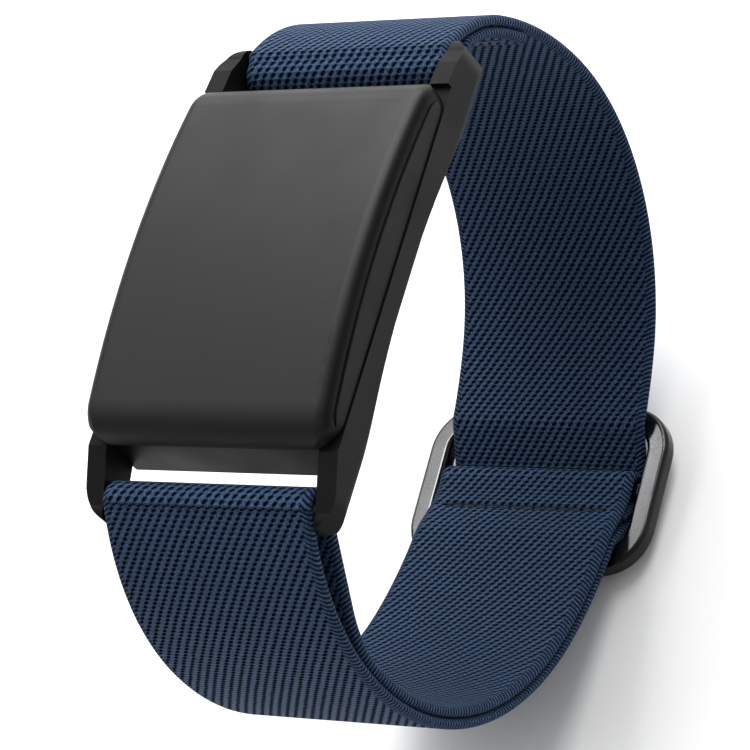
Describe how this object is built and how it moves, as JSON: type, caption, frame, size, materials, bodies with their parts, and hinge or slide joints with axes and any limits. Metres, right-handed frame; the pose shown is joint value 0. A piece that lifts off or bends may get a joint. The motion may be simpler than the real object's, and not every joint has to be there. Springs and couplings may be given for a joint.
{
  "type": "fitness tracker band",
  "caption": "Screenless fitness tracker on a looped elastic webbing strap: slim dark case with lugs, navy woven band, metal slider opposite.",
  "frame": {"origin": "centre of the opening that the wrist fills", "axes": "+X along the wrist axis, +Y along the case from the lower lugs to the upper lugs, +Z out of the case's face, away from the wrist"},
  "size_m": [0.0272, 0.0673, 0.0585],
  "materials": {
    "cover_graphite": "satin",
    "frame_graphite": "satin",
    "adhesive_film": "matt",
    "pod_black": "fine matt",
    "gasket_rubber": "matt",
    "dark_window": "polished",
    "barrier_black": "matt",
    "led_lens": "clear domed",
    "detector_glass": "polished",
    "board_green": "solder mask",
    "battery_foil": "foil",
    "motor_steel": "satin",
    "contact_gold": "plated",
    "navy_webbing": "woven",
    "navy_thread": "spun",
    "slider_gunmetal": "dark plated, polished",
    "bar_steel": "turned",
    "spring_steel": "drawn wire"
  },
  "bodies": {
    "case_and_strap": {"top_cover": "cover_graphite", "cover_adhesive": "adhesive_film", "lug_frame": "frame_graphite", "latch_springs": "spring_steel", "strap_front_run": "navy_webbing", "strap_rear_run": "navy_webbing", "top_fold_stitching": "navy_thread"},
    "pod": {"pod_shell": "pod_black", "pod_back_cover": "pod_black", "pod_gasket": "gasket_rubber", "sensor_window": "dark_window", "light_barrier": "barrier_black", "sensor_leds": "led_lens", "photodiodes": "detector_glass", "circuit_board": "board_green", "battery_cell": "battery_foil", "haptic_motor": "motor_steel", "charging_contacts": "contact_gold"},
    "slider": {"slider_frame": "slider_gunmetal", "strap_bight": "navy_webbing", "strap_end_loop": "navy_webbing", "loop_stitching": "navy_thread"},
    "bottom_bar": {"bottom_bar_tube": "bar_steel", "bottom_bar_spring": "spring_steel"},
    "bottom_tip_left": {"bottom_bar_tip_left": "bar_steel"},
    "bottom_tip_right": {"bottom_bar_tip_right": "bar_steel"},
    "top_bar": {"top_bar_tube": "bar_steel", "top_bar_spring": "spring_steel"},
    "top_tip_left": {"top_bar_tip_left": "bar_steel"},
    "top_tip_right": {"top_bar_tip_right": "bar_steel"}
  },
  "joints": [
    {"name": "slider_travel", "type": "hinge", "parent": "case_and_strap", "child": "slider", "pos_m": [0, 0.0029, 0.0218], "axis": [1, 0, 0], "range_deg": [-3, 4]},
    {"name": "pod_release", "type": "slide", "parent": "case_and_strap", "child": "pod", "axis": [0, 0, 1], "range_m": [-0.009, 0]},
    {"name": "bottom_bar_spin", "type": "hinge", "parent": "case_and_strap", "child": "bottom_bar", "pos_m": [0, -0.0222, 0.0236], "axis": [1, 0, 0], "continuous": true},
    {"name": "top_bar_spin", "type": "hinge", "parent": "case_and_strap", "child": "top_bar", "pos_m": [0, 0.0222, 0.0236], "axis": [1, 0, 0], "continuous": true},
    {"name": "bottom_tip_left_press", "type": "slide", "parent": "bottom_bar", "child": "bottom_tip_left", "axis": [1, 0, 0], "range_m": [0, 0.0011], "stiffness_N_per_m": 500, "springref_m": -0.001},
    {"name": "bottom_tip_right_press", "type": "slide", "parent": "bottom_bar", "child": "bottom_tip_right", "axis": [-1, 0, 0], "range_m": [0, 0.0011], "stiffness_N_per_m": 500, "springref_m": -0.001},
    {"name": "top_tip_left_press", "type": "slide", "parent": "top_bar", "child": "top_tip_left", "axis": [1, 0, 0], "range_m": [0, 0.0011], "stiffness_N_per_m": 500, "springref_m": -0.001},
    {"name": "top_tip_right_press", "type": "slide", "parent": "top_bar", "child": "top_tip_right", "axis": [-1, 0, 0], "range_m": [0, 0.0011], "stiffness_N_per_m": 500, "springref_m": -0.001}
  ]
}
